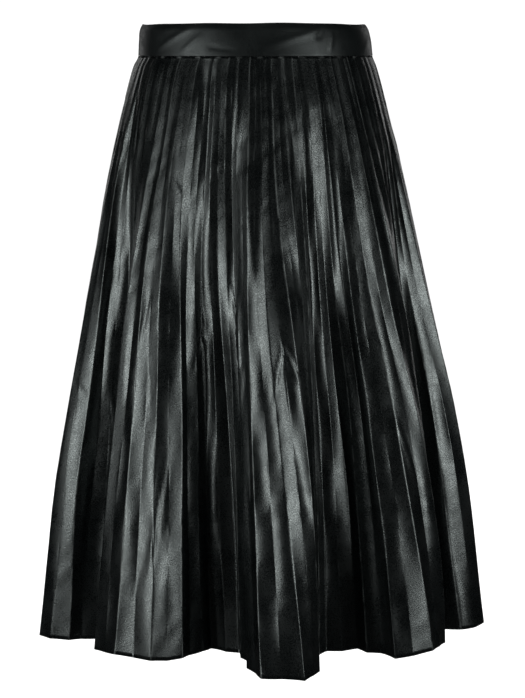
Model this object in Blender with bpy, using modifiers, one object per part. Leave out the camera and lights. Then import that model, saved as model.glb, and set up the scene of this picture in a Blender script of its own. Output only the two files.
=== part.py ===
"""Leather skirt: a sunray-pleated midi skirt on a plain waistband, open and hollow as when worn.

Metres, +Z up. The origin is the middle of the waistband's ring, the front faces -Y, and left and
right are as seen from the front. The skirt's wall is lofted through level rings: each ring is an
oval girth with drape folds that grow towards the hem, and the pleats zigzag along it.
"""

from collections import namedtuple

import bmesh
import bpy
import numpy as np

# Sizes of the cloth
BAND_HEIGHT = 0.036
BAND_WALL = 0.0024
BAND_PUFF = 0.0004
BAND_STATIONS = 64
BAND_FACE_SHARES = (0.0, 0.5, 1.0)
BAND_TOP_TURNS = (45, 90)
SKIRT_WALL = 0.0012
SEAM_GAP = 0.0003
HEM_HEIGHT = -0.690
SEAM_HEIGHT = -BAND_HEIGHT / 2 - SEAM_GAP

# Pleats: each has two flat panels. Their rise is a pleat's depth as a share of a panel's width:
# they are pressed flat at the waist seam, and stay more closed in the hollows than on the crests.
PLEATS = 64
COLUMNS = 2 * PLEATS
SEAM_RISE = 0.22
CREST_RISE = 0.36
HOLLOW_RISE = 0.70
PRESSED_SHARE = 0.25
OPENED_ON_CRESTS = 0.12

# Rings of the wall, closer together near the waist
RINGS = 19
RING_CROWDING = 1.15
CARRIER_POINTS = 2880

# Half-widths and half-depths of the girth at each height
Girth = namedtuple("Girth", "height left right front back")
GIRTHS = tuple(
    Girth(*row)
    for row in (
        (0.018, 0.1308, 0.1283, 0.0970, 0.1000),
        (0.000, 0.1325, 0.1325, 0.0985, 0.1000),
        (-0.018, 0.1340, 0.1352, 0.1000, 0.1000),
        (-0.030, 0.1398, 0.1399, 0.1025, 0.1040),
        (-0.067, 0.1500, 0.1503, 0.1120, 0.1180),
        (-0.127, 0.1616, 0.1650, 0.1240, 0.1340),
        (-0.185, 0.1712, 0.1756, 0.1340, 0.1440),
        (-0.287, 0.1841, 0.1901, 0.1480, 0.1560),
        (-0.425, 0.1996, 0.2103, 0.1640, 0.1680),
        (-0.545, 0.2109, 0.2237, 0.1780, 0.1800),
        (-0.690, 0.2194, 0.2324, 0.1920, 0.1940),
    )
)

# Drape folds, by turns a crest and a hollow: their angle from the front towards the right at the
# waist and at the hem, reach out of the girth at the hem, breadth against their neighbours', share
# of the length above their start, and lift of the hem
Fold = namedtuple("Fold", "waist_angle hem_angle reach breadth start lift")
FOLDS = tuple(
    Fold(*row)
    for row in (
        (-76.0, -76.0, 0.040, 0.80, 0.04, -0.006),
        (-58.0, -61.0, -0.048, 0.75, 0.02, -0.006),
        (-38.0, -37.0, 0.030, 1.40, 0.06, 0.007),
        (-19.0, -13.0, -0.060, 0.85, 0.00, -0.002),
        (7.0, 9.0, 0.052, 0.85, 0.06, 0.000),
        (26.0, 28.0, -0.058, 1.05, 0.08, -0.008),
        (46.0, 48.0, 0.037, 1.20, 0.06, 0.005),
        (66.0, 67.0, -0.046, 0.70, 0.15, -0.002),
        (82.0, 83.0, 0.040, 0.90, 0.12, 0.003),
        (98.0, 98.0, -0.046, 0.90, 0.08, -0.004),
        (114.0, 114.0, 0.039, 1.10, 0.06, 0.004),
        (131.0, 131.0, -0.054, 0.90, 0.08, -0.004),
        (148.0, 148.0, 0.039, 1.20, 0.08, 0.004),
        (165.0, 165.0, -0.058, 0.90, 0.10, -0.004),
        (183.0, 183.0, 0.042, 1.10, 0.08, 0.002),
        (201.0, 201.0, -0.052, 1.00, 0.10, -0.004),
        (219.0, 219.0, 0.038, 1.20, 0.08, 0.003),
        (236.0, 236.0, -0.054, 0.90, 0.06, -0.004),
        (253.0, 253.0, 0.039, 1.10, 0.08, 0.004),
        (268.0, 268.0, -0.044, 0.90, 0.07, -0.004),
    )
)
FOLD_STEEPNESS = 2.2
FOLD_GROWTH = 1.05

# Cloth panels between seams, in columns counted from the centre back round by the left side
LEFT_SEAM = COLUMNS // 4
RIGHT_SEAM = 3 * COLUMNS // 4
PLEAT_STEP = 2
PANELS = {
    "skirt_back_left": (0, LEFT_SEAM),
    "skirt_front": (LEFT_SEAM, RIGHT_SEAM),
    "skirt_back_right": (RIGHT_SEAM, COLUMNS),
}

# Concealed zip behind the centre back seam
ZIP_RINGS = 8
TAPE_WIDTH = 0.0100
TAPE_WALL = 0.0010
TAPE_TOP = BAND_HEIGHT / 2 - 0.003
TAPE_POINTS = 5
COIL_CHANNEL = 0.0030
TAPE_CURVE = 4.0
SLIDER_SIZE = (0.0070, 0.0024, 0.0090)
SLIDER_CLEARANCE = 0.0009
SLIDER_BEVEL = 0.0007
SLIDER_BEVEL_STEPS = 2

# Pull tab on its pin, which turns in the slider's lug
PIN_RADIUS = 0.0005
PIN_LENGTH = 0.0046
PIN_STANDOFF = 0.0017
PIN_HEIGHT = 0.0085
LUG_BORE = 0.00095
LUG_BORE_LENGTH = 0.0032
LUG_RADIUS = 0.0020
LUG_WIDTH = 0.0016
NECK_HEIGHT = 0.0028
NOTCH_WIDTH = 0.0026
NOTCH_DEPTH = 0.0096
NOTCH_HEIGHT = 0.0054
TAB_WALL = 0.0011
TAB_LENGTH = 0.0200
TAB_SHOULDER = 0.0028
TAB_FOOT = 0.0034
TAB_SLOT_WIDTH = 0.0027
TAB_SLOT_DEPTH = 0.0025
TAB_CHEEK_TOP = 0.0010
TAB_END_POINTS = 9
TAB_BEVEL = 0.00015
TAB_BEVEL_STEPS = 1
ROD_SIDES = 24
WELD_DISTANCE = 1e-6

# Colour, roughness and metallic share of each material
Finish = namedtuple("Finish", "colour roughness metallic")
LEATHER = Finish((0.012, 0.014, 0.015), 0.42, 0.0)
TAPE = Finish((0.010, 0.010, 0.011), 0.85, 0.0)
LACQUER = Finish((0.030, 0.030, 0.032), 0.35, 0.6)

BAND_MIDDLE = next(girth for girth in GIRTHS if girth.height == 0.0)
BAND_INNER_BACK = BAND_MIDDLE.back - BAND_WALL / 2
BAND_OUTER_BACK = BAND_MIDDLE.back + BAND_WALL / 2
PIN_AXIS = (0.0, BAND_OUTER_BACK + PIN_STANDOFF, PIN_HEIGHT)


def clear_scene():
    for obj in list(bpy.data.objects):
        bpy.data.objects.remove(obj, do_unlink=True)


def new_collection(name):
    collection = bpy.data.collections.new(name)
    bpy.context.scene.collection.children.link(collection)
    return collection


def new_material(name, finish):
    material = bpy.data.materials.new(name)
    material.use_nodes = True
    shader = material.node_tree.nodes["Principled BSDF"]
    shader.inputs["Base Color"].default_value = (*finish.colour, 1.0)
    shader.inputs["Roughness"].default_value = finish.roughness
    shader.inputs["Metallic"].default_value = finish.metallic
    return material


def eased_row(table, at):
    """The other columns of a table at one value of its first column, eased with no overshoot."""
    rows = np.array(sorted(table))
    places, values = rows[:, 0], rows[:, 1:]
    steps = np.diff(values, axis=0) / np.diff(places)[:, None]
    before, after = steps[:-1], steps[1:]
    same_way = before * after > 0
    total = np.where(same_way, before + after, 1.0)
    inner = np.where(same_way, 2 * before * after / total, 0.0)
    slopes = np.vstack([steps[:1], inner, steps[-1:]])
    low = int(np.clip(np.searchsorted(places, at) - 1, 0, len(places) - 2))
    high = low + 1
    step = places[high] - places[low]
    t = np.clip((at - places[low]) / step, 0.0, 1.0)
    return (
        (1 + 2 * t) * (1 - t) ** 2 * values[low]
        + t * (1 - t) ** 2 * step * slopes[low]
        + t * t * (3 - 2 * t) * values[high]
        + t * t * (t - 1) * step * slopes[high]
    )


def girth_curve(height, angles):
    """Points of the oval girth and its outward normals, at angles from the front to the right."""
    left, right, front, back = eased_row(GIRTHS, height)
    across = np.sin(np.radians(angles))
    ahead = np.cos(np.radians(angles))
    width = np.where(across < 0, left, right)
    depth = np.where(ahead > 0, front, back)
    points = np.stack([width * across, -depth * ahead], axis=1)
    normals = np.stack([across / width, -ahead / depth], axis=1)
    normals /= np.linalg.norm(normals, axis=1)[:, None]
    return points, normals


def drape(angles, down):
    """Reach out of the girth, lift of the hem and share of crest, at angles and a share down from
    the seam. Each fold turns into the next one over a steep wall between them.
    """
    waist_angle, hem_angle, reach, breadth, start, lift = np.array(FOLDS).T
    places = waist_angle + (hem_angle - waist_angle) * down
    starts = np.append(places - places[0], 360.0)
    turned = (angles - places[0]) % 360
    this = np.clip(np.searchsorted(starts, turned, side="right") - 1, 0, len(FOLDS) - 1)
    after = (this + 1) % len(FOLDS)
    turn = (turned - starts[this]) / (starts[this + 1] - starts[this])
    wall_place = breadth[this] / (breadth[this] + breadth[after])
    turn = turn ** (np.log(0.5) / np.log(wall_place))
    steep = 0.5 + 0.5 * np.tanh(FOLD_STEEPNESS * np.cos(np.pi * turn)) / np.tanh(FOLD_STEEPNESS)
    soft = 0.5 + 0.5 * np.cos(np.pi * turn)
    grown = reach * np.clip((down - start) / (1 - start), 0.0, 1.0) ** FOLD_GROWTH
    crest = (reach > 0).astype(float)

    def between(column, weight):
        return column[after] + (column[this] - column[after]) * weight

    return between(grown, steep), between(lift, soft), between(crest, steep)


def carrier(down):
    """The ring that the pleats follow: its columns, their lift, share of crest and half pitch."""
    angles = 180.0 + np.arange(CARRIER_POINTS + 1) * 360.0 / CARRIER_POINTS
    height = SEAM_HEIGHT + (HEM_HEIGHT - SEAM_HEIGHT) * down
    girth, normals = girth_curve(height, angles)
    reach, lift, crest = drape(angles, down)
    line = girth + normals * reach[:, None]
    step = np.linalg.norm(np.diff(line, axis=0), axis=1)
    opened = 1 + OPENED_ON_CRESTS * down * (2 * crest[1:] - 1)
    filled = np.concatenate([[0.0], np.cumsum(step / opened)])
    travel = np.concatenate([[0.0], np.cumsum(step)])
    at = np.arange(COLUMNS + 1) * filled[-1] / COLUMNS
    points = np.stack([np.interp(at, filled, line[:, axis]) for axis in (0, 1)], axis=1)
    half_pitch = np.diff(np.interp(at, filled, travel))
    lift, crest = (np.interp(at[:-1], filled, values) for values in (lift, crest))
    return points[:-1], lift, crest, half_pitch


def panel_normals(points):
    """Outward unit normals of the flats that leave each point of a closed ring."""
    along = np.roll(points, -1, axis=0) - points
    normals = np.stack([along[:, 1], -along[:, 0]], axis=1)
    return normals / np.linalg.norm(normals, axis=1)[:, None]


def mitres(points):
    """At each point of a closed ring, the vector that moves both its flats out by one unit."""
    leaving = panel_normals(points)
    arriving = np.roll(leaving, 1, axis=0)
    both = leaving + arriving
    return both / (1 + (leaving * arriving).sum(axis=1))[:, None]


def pleated_ring(down):
    """Outer and inner skins of the wall at a share of the way from the waist seam to the hem."""
    points, lift, crest, half_pitch = carrier(down)
    rise = HOLLOW_RISE + (CREST_RISE - HOLLOW_RISE) * crest
    rise = SEAM_RISE + (rise - SEAM_RISE) * min(down / PRESSED_SHARE, 1.0)
    depth = rise * (half_pitch + np.roll(half_pitch, 1)) / 2
    outward = np.where(np.arange(COLUMNS) % 2 == 0, -0.5, 0.5)
    middle = points + mitres(points) * (outward * depth)[:, None]
    half_wall = mitres(middle) * SKIRT_WALL / 2
    height = SEAM_HEIGHT + (HEM_HEIGHT + lift - SEAM_HEIGHT) * down
    outer = np.column_stack([middle + half_wall, height])
    inner = np.column_stack([middle - half_wall, height])
    return outer, inner


def all_rings():
    downs = (np.arange(RINGS) / (RINGS - 1)) ** RING_CROWDING
    skins = [pleated_ring(down) for down in downs]
    return np.array([outer for outer, _ in skins]), np.array([inner for _, inner in skins])


def wall_object(name, outer, inner, material, collection):
    """A closed wall between two skins, each a grid of points: rows down, columns to the right.

    Both skins are split along the same diagonals, so the wall keeps its thickness where it twists.
    """
    rows, columns = outer.shape[:2]
    mesh = bmesh.new()
    skins = [
        [[mesh.verts.new(point) for point in row] for row in skin] for skin in (outer, inner)
    ]
    front, back = skins
    for row in range(rows - 1):
        for column in range(columns - 1):
            near, far = (row, column), (row + 1, column + 1)
            for corner in ((row + 1, column), (row, column + 1)):
                mesh.faces.new([front[r][c] for r, c in (near, corner, far)])
                mesh.faces.new([back[r][c] for r, c in (far, corner, near)])
    for column in range(columns - 1):
        for row in (0, rows - 1):
            mesh.faces.new(
                (front[row][column], front[row][column + 1], back[row][column + 1], back[row][column])
            )
    for row in range(rows - 1):
        for column in (0, columns - 1):
            mesh.faces.new(
                (front[row][column], front[row + 1][column], back[row + 1][column], back[row][column])
            )
    return finished(name, mesh, material, collection)


def finished(name, mesh, material, collection):
    """Turns a bmesh into an object with its faces out and its material on."""
    bmesh.ops.recalc_face_normals(mesh, faces=mesh.faces)
    data = bpy.data.meshes.new(name)
    mesh.to_mesh(data)
    mesh.free()
    data.materials.append(material)
    obj = bpy.data.objects.new(name, data)
    collection.objects.link(obj)
    return obj


def skirt_panel(name, rings, material, collection):
    """One cut piece of pleated cloth, half a seam gap short of its neighbours on both sides."""
    first, last = PANELS[name]
    columns = np.arange(first, last + 1) % COLUMNS
    skins = []
    for skin in rings:
        piece = skin[:, columns].copy()
        for end, towards in ((0, PLEAT_STEP), (-1, -1 - PLEAT_STEP)):
            across = (piece[:, towards] - piece[:, end]) * (1, 1, 0)
            piece[:, end] += across / np.linalg.norm(across, axis=1)[:, None] * SEAM_GAP / 2
        skins.append(piece)
    return wall_object(name, *skins, material, collection)


def waistband(material, collection):
    """A straight strip folded over at the top, round the waist from the centre back seam."""
    gap_angle = np.degrees(SEAM_GAP / 2 / BAND_MIDDLE.left)
    angles = np.linspace(180.0 + gap_angle, 540.0 - gap_angle, BAND_STATIONS + 1)
    fold_radius = BAND_WALL / 2
    low, high = -BAND_HEIGHT / 2, BAND_HEIGHT / 2 - fold_radius
    profile = [(low + (high - low) * share, fold_radius) for share in BAND_FACE_SHARES]
    profile += [
        (high + fold_radius * np.sin(turn), fold_radius * np.cos(turn))
        for turn in np.radians(BAND_TOP_TURNS)
    ]
    skins = []
    for side in (1, -1):
        rows = []
        for height, out in reversed(profile):
            rise = np.clip((height - low) / (high - low), 0.0, 1.0)
            puff = BAND_PUFF * 4 * rise * (1 - rise) * (side > 0)
            points, normals = girth_curve(height, angles)
            points = points + normals * (side * out + puff)
            rows.append(np.column_stack([points, np.full(len(points), height)]))
        skins.append(np.array(rows))
    return folded_wall("waistband", *skins, material, collection)


def folded_wall(name, outer, inner, material, collection):
    """A wall whose skins meet along their top row, with its ends and its foot closed."""
    mesh = bmesh.new()
    loops = np.concatenate([outer[::-1], inner[1:]])
    grid = [[mesh.verts.new(point) for point in row] for row in loops]
    for low, high in zip(grid, grid[1:] + grid[:1]):
        for column in range(len(low) - 1):
            mesh.faces.new((low[column], low[column + 1], high[column + 1], high[column]))
    for column in (0, -1):
        mesh.faces.new([row[column] for row in grid])
    return finished(name, mesh, material, collection)


def box(name, low, high, material, collection):
    mesh = bmesh.new()
    bmesh.ops.create_cube(mesh, size=1.0)
    size = np.subtract(high, low)
    bmesh.ops.scale(mesh, vec=size, verts=mesh.verts)
    bmesh.ops.translate(mesh, vec=np.add(high, low) / 2, verts=mesh.verts)
    return finished(name, mesh, material, collection)


def rod(name, centre, radius, length, material, collection):
    """A cylinder along X."""
    bpy.ops.mesh.primitive_cylinder_add(
        vertices=ROD_SIDES,
        radius=radius,
        depth=length,
        location=centre,
        rotation=(0, np.pi / 2, 0),
    )
    obj = bpy.context.active_object
    obj.name = name
    obj.data.materials.append(material)
    for holder in obj.users_collection:
        holder.objects.unlink(obj)
    collection.objects.link(obj)
    return obj


def boolean(obj, other, operation):
    modifier = obj.modifiers.new(other.name, "BOOLEAN")
    modifier.operation = operation
    modifier.object = other
    modifier.solver = "EXACT"
    other.hide_render = True
    other.display_type = "WIRE"


def zip_tape(name, side, inner_rings, material, collection):
    """One half of the tape, flat behind the centre back seam from the band's top to the zip's end."""
    seam_line = inner_rings[:ZIP_RINGS, 0, 1:]
    band_foot = min(BAND_INNER_BACK, seam_line[0][0])
    band_line = [(BAND_INNER_BACK, TAPE_TOP), (band_foot, -BAND_HEIGHT / 2)]
    line = np.vstack([band_line, seam_line])
    across = COIL_CHANNEL / 2 + np.linspace(0.0, TAPE_WIDTH, TAPE_POINTS)
    skins = []
    for sunk in (SEAM_GAP, SEAM_GAP + TAPE_WALL):
        rows = [
            [(side * x, depth - sunk - TAPE_CURVE * x * x, height) for x in across]
            for depth, height in line
        ]
        skins.append(np.array(rows))
    return wall_object(name, *skins, material, collection)


def zip_slider(material, collection, cutters):
    """The slider behind the tapes, with a neck through the seam and a bored lug outside it."""
    width, thickness, height = SLIDER_SIZE
    _, axis_depth, axis_height = PIN_AXIS
    outside = BAND_INNER_BACK - TAPE_WALL - SLIDER_CLEARANCE
    inside = outside - thickness
    body = box(
        "zip_slider",
        (-width / 2, inside, axis_height - height / 2),
        (width / 2, outside, axis_height + height / 2),
        material,
        collection,
    )
    bevel = body.modifiers.new("rounded edges", "BEVEL")
    bevel.width = SLIDER_BEVEL
    bevel.segments = SLIDER_BEVEL_STEPS
    neck = box(
        "slider_neck",
        (-LUG_WIDTH / 2, (inside + outside) / 2, axis_height - NECK_HEIGHT / 2),
        (LUG_WIDTH / 2, axis_depth, axis_height + NECK_HEIGHT / 2),
        material,
        cutters,
    )
    boolean(body, neck, "UNION")
    lug = rod("slider_lug", PIN_AXIS, LUG_RADIUS, LUG_WIDTH, material, cutters)
    boolean(body, lug, "UNION")
    bore = rod("lug_bore", PIN_AXIS, LUG_BORE, LUG_BORE_LENGTH, material, cutters)
    boolean(body, bore, "DIFFERENCE")
    return body


def tab_outline():
    """Half of the tab's edge, right of its middle line, from the slot's foot round to the tip."""
    end_height = -(TAB_LENGTH - TAB_FOOT)
    turns = np.linspace(0.0, np.pi / 2, TAB_END_POINTS)
    rounded = [(TAB_FOOT * np.cos(t), end_height - TAB_FOOT * np.sin(t)) for t in turns]
    slot = TAB_SLOT_WIDTH / 2
    top = [(slot, -TAB_SLOT_DEPTH), (slot, TAB_CHEEK_TOP), (TAB_SHOULDER, TAB_CHEEK_TOP)]
    return top + [(TAB_SHOULDER, -TAB_SLOT_DEPTH)] + rounded


def zip_pull(material, collection, cutters):
    """The tab, hanging from its pin. Its origin is on the pin's axis."""
    half = tab_outline()
    outline = half + [(-x, z) for x, z in reversed(half[:-1])]
    curve = bpy.data.curves.new("tab_outline", "CURVE")
    curve.dimensions = "2D"
    curve.fill_mode = "BOTH"
    curve.extrude = TAB_WALL / 2
    spline = curve.splines.new("POLY")
    spline.points.add(len(outline) - 1)
    for point, (x, z) in zip(spline.points, outline):
        point.co = (x, z, 0.0, 1.0)
    spline.use_cyclic_u = True
    flat = bpy.data.objects.new("tab_outline", curve)
    collection.objects.link(flat)
    bpy.context.view_layer.update()
    graph = bpy.context.evaluated_depsgraph_get()
    data = bpy.data.meshes.new_from_object(flat.evaluated_get(graph))
    bpy.data.objects.remove(flat, do_unlink=True)
    mesh = bmesh.new()
    mesh.from_mesh(data)
    bmesh.ops.remove_doubles(mesh, verts=mesh.verts, dist=WELD_DISTANCE)
    for vert in mesh.verts:
        x, z, y = vert.co
        vert.co = (x, y, z)
    tab = finished("zip_pull", mesh, material, collection)
    tab.location = PIN_AXIS
    bevel = tab.modifiers.new("softened edges", "BEVEL")
    bevel.width = TAB_BEVEL
    bevel.segments = TAB_BEVEL_STEPS
    pin = rod("tab_pin", PIN_AXIS, PIN_RADIUS, PIN_LENGTH, material, cutters)
    boolean(tab, pin, "UNION")
    return tab


def main():
    clear_scene()
    skirt = new_collection("leather skirt")
    cutters = new_collection("cutters")
    leather = new_material("black leather", LEATHER)
    tape = new_material("zip tape", TAPE)
    lacquer = new_material("lacquered slider", LACQUER)
    rings = all_rings()
    for name in PANELS:
        skirt_panel(name, rings, leather, skirt)
    band = waistband(leather, skirt)
    zip_tape("zip_tape_left", -1, rings[1], tape, skirt)
    zip_tape("zip_tape_right", 1, rings[1], tape, skirt)
    zip_slider(lacquer, skirt, cutters)
    zip_pull(lacquer, skirt, cutters)
    notch_middle = np.array((0.0, BAND_MIDDLE.back, PIN_HEIGHT))
    notch_half = np.array((NOTCH_WIDTH, NOTCH_DEPTH, NOTCH_HEIGHT)) / 2
    notch = box("slider_notch", notch_middle - notch_half, notch_middle + notch_half, leather, cutters)
    boolean(band, notch, "DIFFERENCE")


main()
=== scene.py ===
import math
from collections import namedtuple

import bpy
import numpy as np
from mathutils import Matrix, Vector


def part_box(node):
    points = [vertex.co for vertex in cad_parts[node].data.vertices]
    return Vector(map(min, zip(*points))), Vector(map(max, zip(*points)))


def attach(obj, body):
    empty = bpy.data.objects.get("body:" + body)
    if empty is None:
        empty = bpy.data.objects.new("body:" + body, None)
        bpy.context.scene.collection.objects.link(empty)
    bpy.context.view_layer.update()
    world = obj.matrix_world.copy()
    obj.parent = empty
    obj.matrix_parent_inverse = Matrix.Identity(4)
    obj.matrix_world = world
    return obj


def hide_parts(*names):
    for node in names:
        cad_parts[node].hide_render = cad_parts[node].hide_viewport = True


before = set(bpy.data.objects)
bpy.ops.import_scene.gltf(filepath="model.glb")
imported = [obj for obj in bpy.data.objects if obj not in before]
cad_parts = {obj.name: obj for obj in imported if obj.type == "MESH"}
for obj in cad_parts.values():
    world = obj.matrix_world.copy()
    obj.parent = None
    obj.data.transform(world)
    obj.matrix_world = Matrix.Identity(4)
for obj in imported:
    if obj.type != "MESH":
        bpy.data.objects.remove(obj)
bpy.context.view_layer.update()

# The dressed skirt: pleated leather with its pressed fold lines, bowed flats, creases and grain, a
# folded waistband, and a concealed zip with its coil. Metres, in the CAD model's own frame.
# Left and right are as seen from the front, and columns of the pleats count from the centre back
# round by the left side.


# Sizes of the cloth
BAND_HEIGHT = 0.036
BAND_WALL = 0.0024
SKIRT_WALL = 0.0012
HEM_HEIGHT = -0.690
SEAM_GAP = 0.0003
SEAM_HEIGHT = -BAND_HEIGHT / 2 - SEAM_GAP
CLOTH_LENGTH = SEAM_HEIGHT - HEM_HEIGHT

# The pleats. A rise is the depth of a pleat as a share of a flat's width: at the seam and, below the
# pressed share of the length, on the crests and in the hollows of the drape. The rises are lower
# than the CAD model's, since the photograph's flats look broad and even.
PLEATS = 64
COLUMNS = 2 * PLEATS
PANEL_AT_SEAM = 0.0060
PANEL_AT_HEM = 0.0224
SEAM_RISE = 0.09
CREST_RISE = 0.25
HOLLOW_RISE = 0.36
PRESSED_SHARE = 0.40
OPENED_ON_CRESTS = 0.12
CARRIER_POINTS = 2880

Girth = namedtuple("Girth", "height left right front back")
GIRTHS = tuple(
    Girth(*row)
    for row in (
        (0.018, 0.1308, 0.1283, 0.0970, 0.1000),
        (0.000, 0.1325, 0.1325, 0.0985, 0.1000),
        (-0.018, 0.1340, 0.1352, 0.1000, 0.1000),
        (-0.030, 0.1398, 0.1399, 0.1025, 0.1040),
        (-0.067, 0.1500, 0.1503, 0.1120, 0.1180),
        (-0.127, 0.1616, 0.1650, 0.1240, 0.1340),
        (-0.185, 0.1712, 0.1756, 0.1340, 0.1440),
        (-0.287, 0.1841, 0.1901, 0.1480, 0.1560),
        (-0.425, 0.1996, 0.2103, 0.1640, 0.1680),
        (-0.545, 0.2109, 0.2237, 0.1780, 0.1800),
        (-0.690, 0.2194, 0.2324, 0.1920, 0.1940),
    )
)

# Drape folds, by turns a crest and a hollow, as in the CAD model
Fold = namedtuple("Fold", "waist_angle hem_angle reach breadth start lift")
FOLDS = tuple(
    Fold(*row)
    for row in (
        (-76.0, -76.0, 0.040, 0.80, 0.04, -0.006),
        (-58.0, -61.0, -0.048, 0.75, 0.02, -0.006),
        (-38.0, -37.0, 0.030, 1.40, 0.06, 0.007),
        (-19.0, -13.0, -0.060, 0.85, 0.00, -0.002),
        (7.0, 9.0, 0.052, 0.85, 0.06, 0.000),
        (26.0, 28.0, -0.058, 1.05, 0.08, -0.008),
        (46.0, 48.0, 0.037, 1.20, 0.06, 0.005),
        (66.0, 67.0, -0.046, 0.70, 0.15, -0.002),
        (82.0, 83.0, 0.040, 0.90, 0.12, 0.003),
        (98.0, 98.0, -0.046, 0.90, 0.08, -0.004),
        (114.0, 114.0, 0.039, 1.10, 0.06, 0.004),
        (131.0, 131.0, -0.054, 0.90, 0.08, -0.004),
        (148.0, 148.0, 0.039, 1.20, 0.08, 0.004),
        (165.0, 165.0, -0.058, 0.90, 0.10, -0.004),
        (183.0, 183.0, 0.042, 1.10, 0.08, 0.002),
        (201.0, 201.0, -0.052, 1.00, 0.10, -0.004),
        (219.0, 219.0, 0.038, 1.20, 0.08, 0.003),
        (236.0, 236.0, -0.054, 0.90, 0.06, -0.004),
        (253.0, 253.0, 0.039, 1.10, 0.08, 0.004),
        (268.0, 268.0, -0.044, 0.90, 0.07, -0.004),
    )
)
FOLD_STEEPNESS = 2.2
FOLD_GROWTH = 1.05

# The dressed surface: rows down it, stations across each flat, and the coarser inner skin
ROWS = 150
INNER_ROWS = 50
STATIONS = (0.0, 0.025, 0.08, 0.20, 0.40, 0.60, 0.80, 0.92, 0.975, 1.0)
INNER_STATIONS = (0.0, 0.5, 1.0)
ROW_CROWDING = 1.10

# How the pleats depart from even flats. Lengths of waves down the skirt are shares of its length,
# and the wander is a share of a flat's width. A fold line's radius at the hem lies between two
# values, and is nowhere more than a share of the narrower flat beside it.
SEED = 4127
WAVE_STRETCH = (0.75, 1.3)
WANDER = 0.07
WANDER_LENGTHS = (0.9, 0.45)
WANDER_FROM = 0.15
UNEVEN_DEPTH = 0.14
UNEVEN_LENGTHS = (0.8, 0.35)
HEM_SAG = 0.0012
HEM_SAG_LENGTHS = (3.0,)
FOLD_RADIUS = (0.0008, 0.0030)
FOLD_RADIUS_AT_SEAM = 0.4
FOLD_SHARPNESS = 1.6
WIDEST_FOLD = 0.42
BOW = 0.0014
BOW_LENGTHS = (0.7, 0.3)
RIPPLE = 0.00007 / 3
RIPPLE_WAVES = 22
RIPPLE_LENGTHS = (0.018, 0.060)
RIPPLE_SPREAD = 0.3

# Soft ridges and troughs in the drape, several pleats broad: column, share down, half-breadth in
# columns, half-length as a share of the length, and height in widths of one flat. One share scales
# all the heights, and they grow from nothing at the seam.
Swell = namedtuple("Swell", "column down breadth length height")
SWELL_SHARE = 0.8
SWELL_FROM = 0.04
SWELLS = tuple(
    Swell(*row)
    for row in (
        (36.0, 0.66, 1.8, 0.16, 0.30),
        (38.5, 0.30, 1.6, 0.12, -0.30),
        (42.5, 0.12, 2.0, 0.10, 0.45),
        (43.5, 0.34, 1.6, 0.10, -0.35),
        (46.0, 0.46, 1.4, 0.13, 0.40),
        (48.0, 0.16, 1.8, 0.14, -0.30),
        (50.0, 0.40, 2.2, 0.14, 0.40),
        (51.5, 0.72, 1.4, 0.14, -0.30),
        (52.5, 0.10, 1.6, 0.08, 0.30),
        (54.5, 0.30, 1.6, 0.12, 0.30),
        (55.5, 0.12, 1.3, 0.12, -0.35),
        (57.5, 0.17, 1.2, 0.16, 0.45),
        (60.0, 0.06, 1.6, 0.06, 0.30),
        (60.5, 0.28, 1.4, 0.10, -0.30),
        (61.5, 0.46, 1.6, 0.12, 0.45),
        (62.5, 0.76, 1.5, 0.16, -0.15),
        (63.5, 0.24, 1.6, 0.12, 0.25),
        (64.5, 0.50, 1.4, 0.14, 0.30),
        (66.0, 0.20, 2.0, 0.12, -0.35),
        (66.5, 0.42, 1.6, 0.10, 0.40),
        (68.5, 0.70, 1.6, 0.16, 0.25),
        (70.0, 0.14, 2.0, 0.12, -0.40),
        (71.0, 0.33, 1.6, 0.12, 0.30),
        (73.8, 0.17, 1.5, 0.17, 0.55),
        (76.0, 0.10, 1.6, 0.10, -0.30),
        (77.6, 0.16, 1.3, 0.09, 0.45),
        (79.0, 0.36, 1.6, 0.14, -0.30),
        (81.5, 0.30, 1.8, 0.16, 0.45),
        (80.5, 0.60, 1.5, 0.14, 0.50),
        (83.5, 0.78, 1.5, 0.12, 0.30),
        (84.5, 0.14, 1.8, 0.10, -0.30),
        (87.0, 0.40, 1.8, 0.16, 0.30),
        (91.0, 0.62, 1.8, 0.18, 0.30),
        (94.0, 0.26, 1.8, 0.14, -0.30),
        (98.0, 0.48, 2.0, 0.16, 0.35),
        (101.5, 0.20, 1.6, 0.12, 0.40),
        (104.0, 0.62, 1.8, 0.16, -0.30),
        (107.5, 0.34, 1.6, 0.14, 0.40),
        (110.5, 0.12, 1.8, 0.10, -0.35),
        (112.5, 0.52, 1.6, 0.14, 0.35),
        (116.0, 0.24, 2.0, 0.14, 0.30),
        (118.5, 0.70, 1.6, 0.14, -0.30),
        (121.5, 0.40, 1.6, 0.12, 0.40),
        (124.0, 0.16, 1.8, 0.12, -0.25),
        (3.5, 0.18, 1.8, 0.12, 0.30),
        (6.5, 0.44, 1.6, 0.14, -0.35),
        (9.0, 0.68, 1.8, 0.16, 0.35),
        (11.5, 0.14, 1.6, 0.10, 0.40),
        (14.5, 0.36, 1.8, 0.14, -0.30),
        (17.0, 0.58, 1.6, 0.14, 0.40),
        (20.5, 0.22, 2.0, 0.14, 0.35),
        (23.0, 0.74, 1.6, 0.14, -0.25),
        (26.0, 0.42, 1.6, 0.14, 0.40),
        (29.0, 0.16, 1.8, 0.10, -0.35),
        (31.0, 0.60, 1.8, 0.16, 0.30),
    )
)

PANELS = {
    "skirt_back_left": (0, COLUMNS // 4),
    "skirt_front": (COLUMNS // 4, 3 * COLUMNS // 4),
    "skirt_back_right": (3 * COLUMNS // 4, COLUMNS),
}

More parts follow.
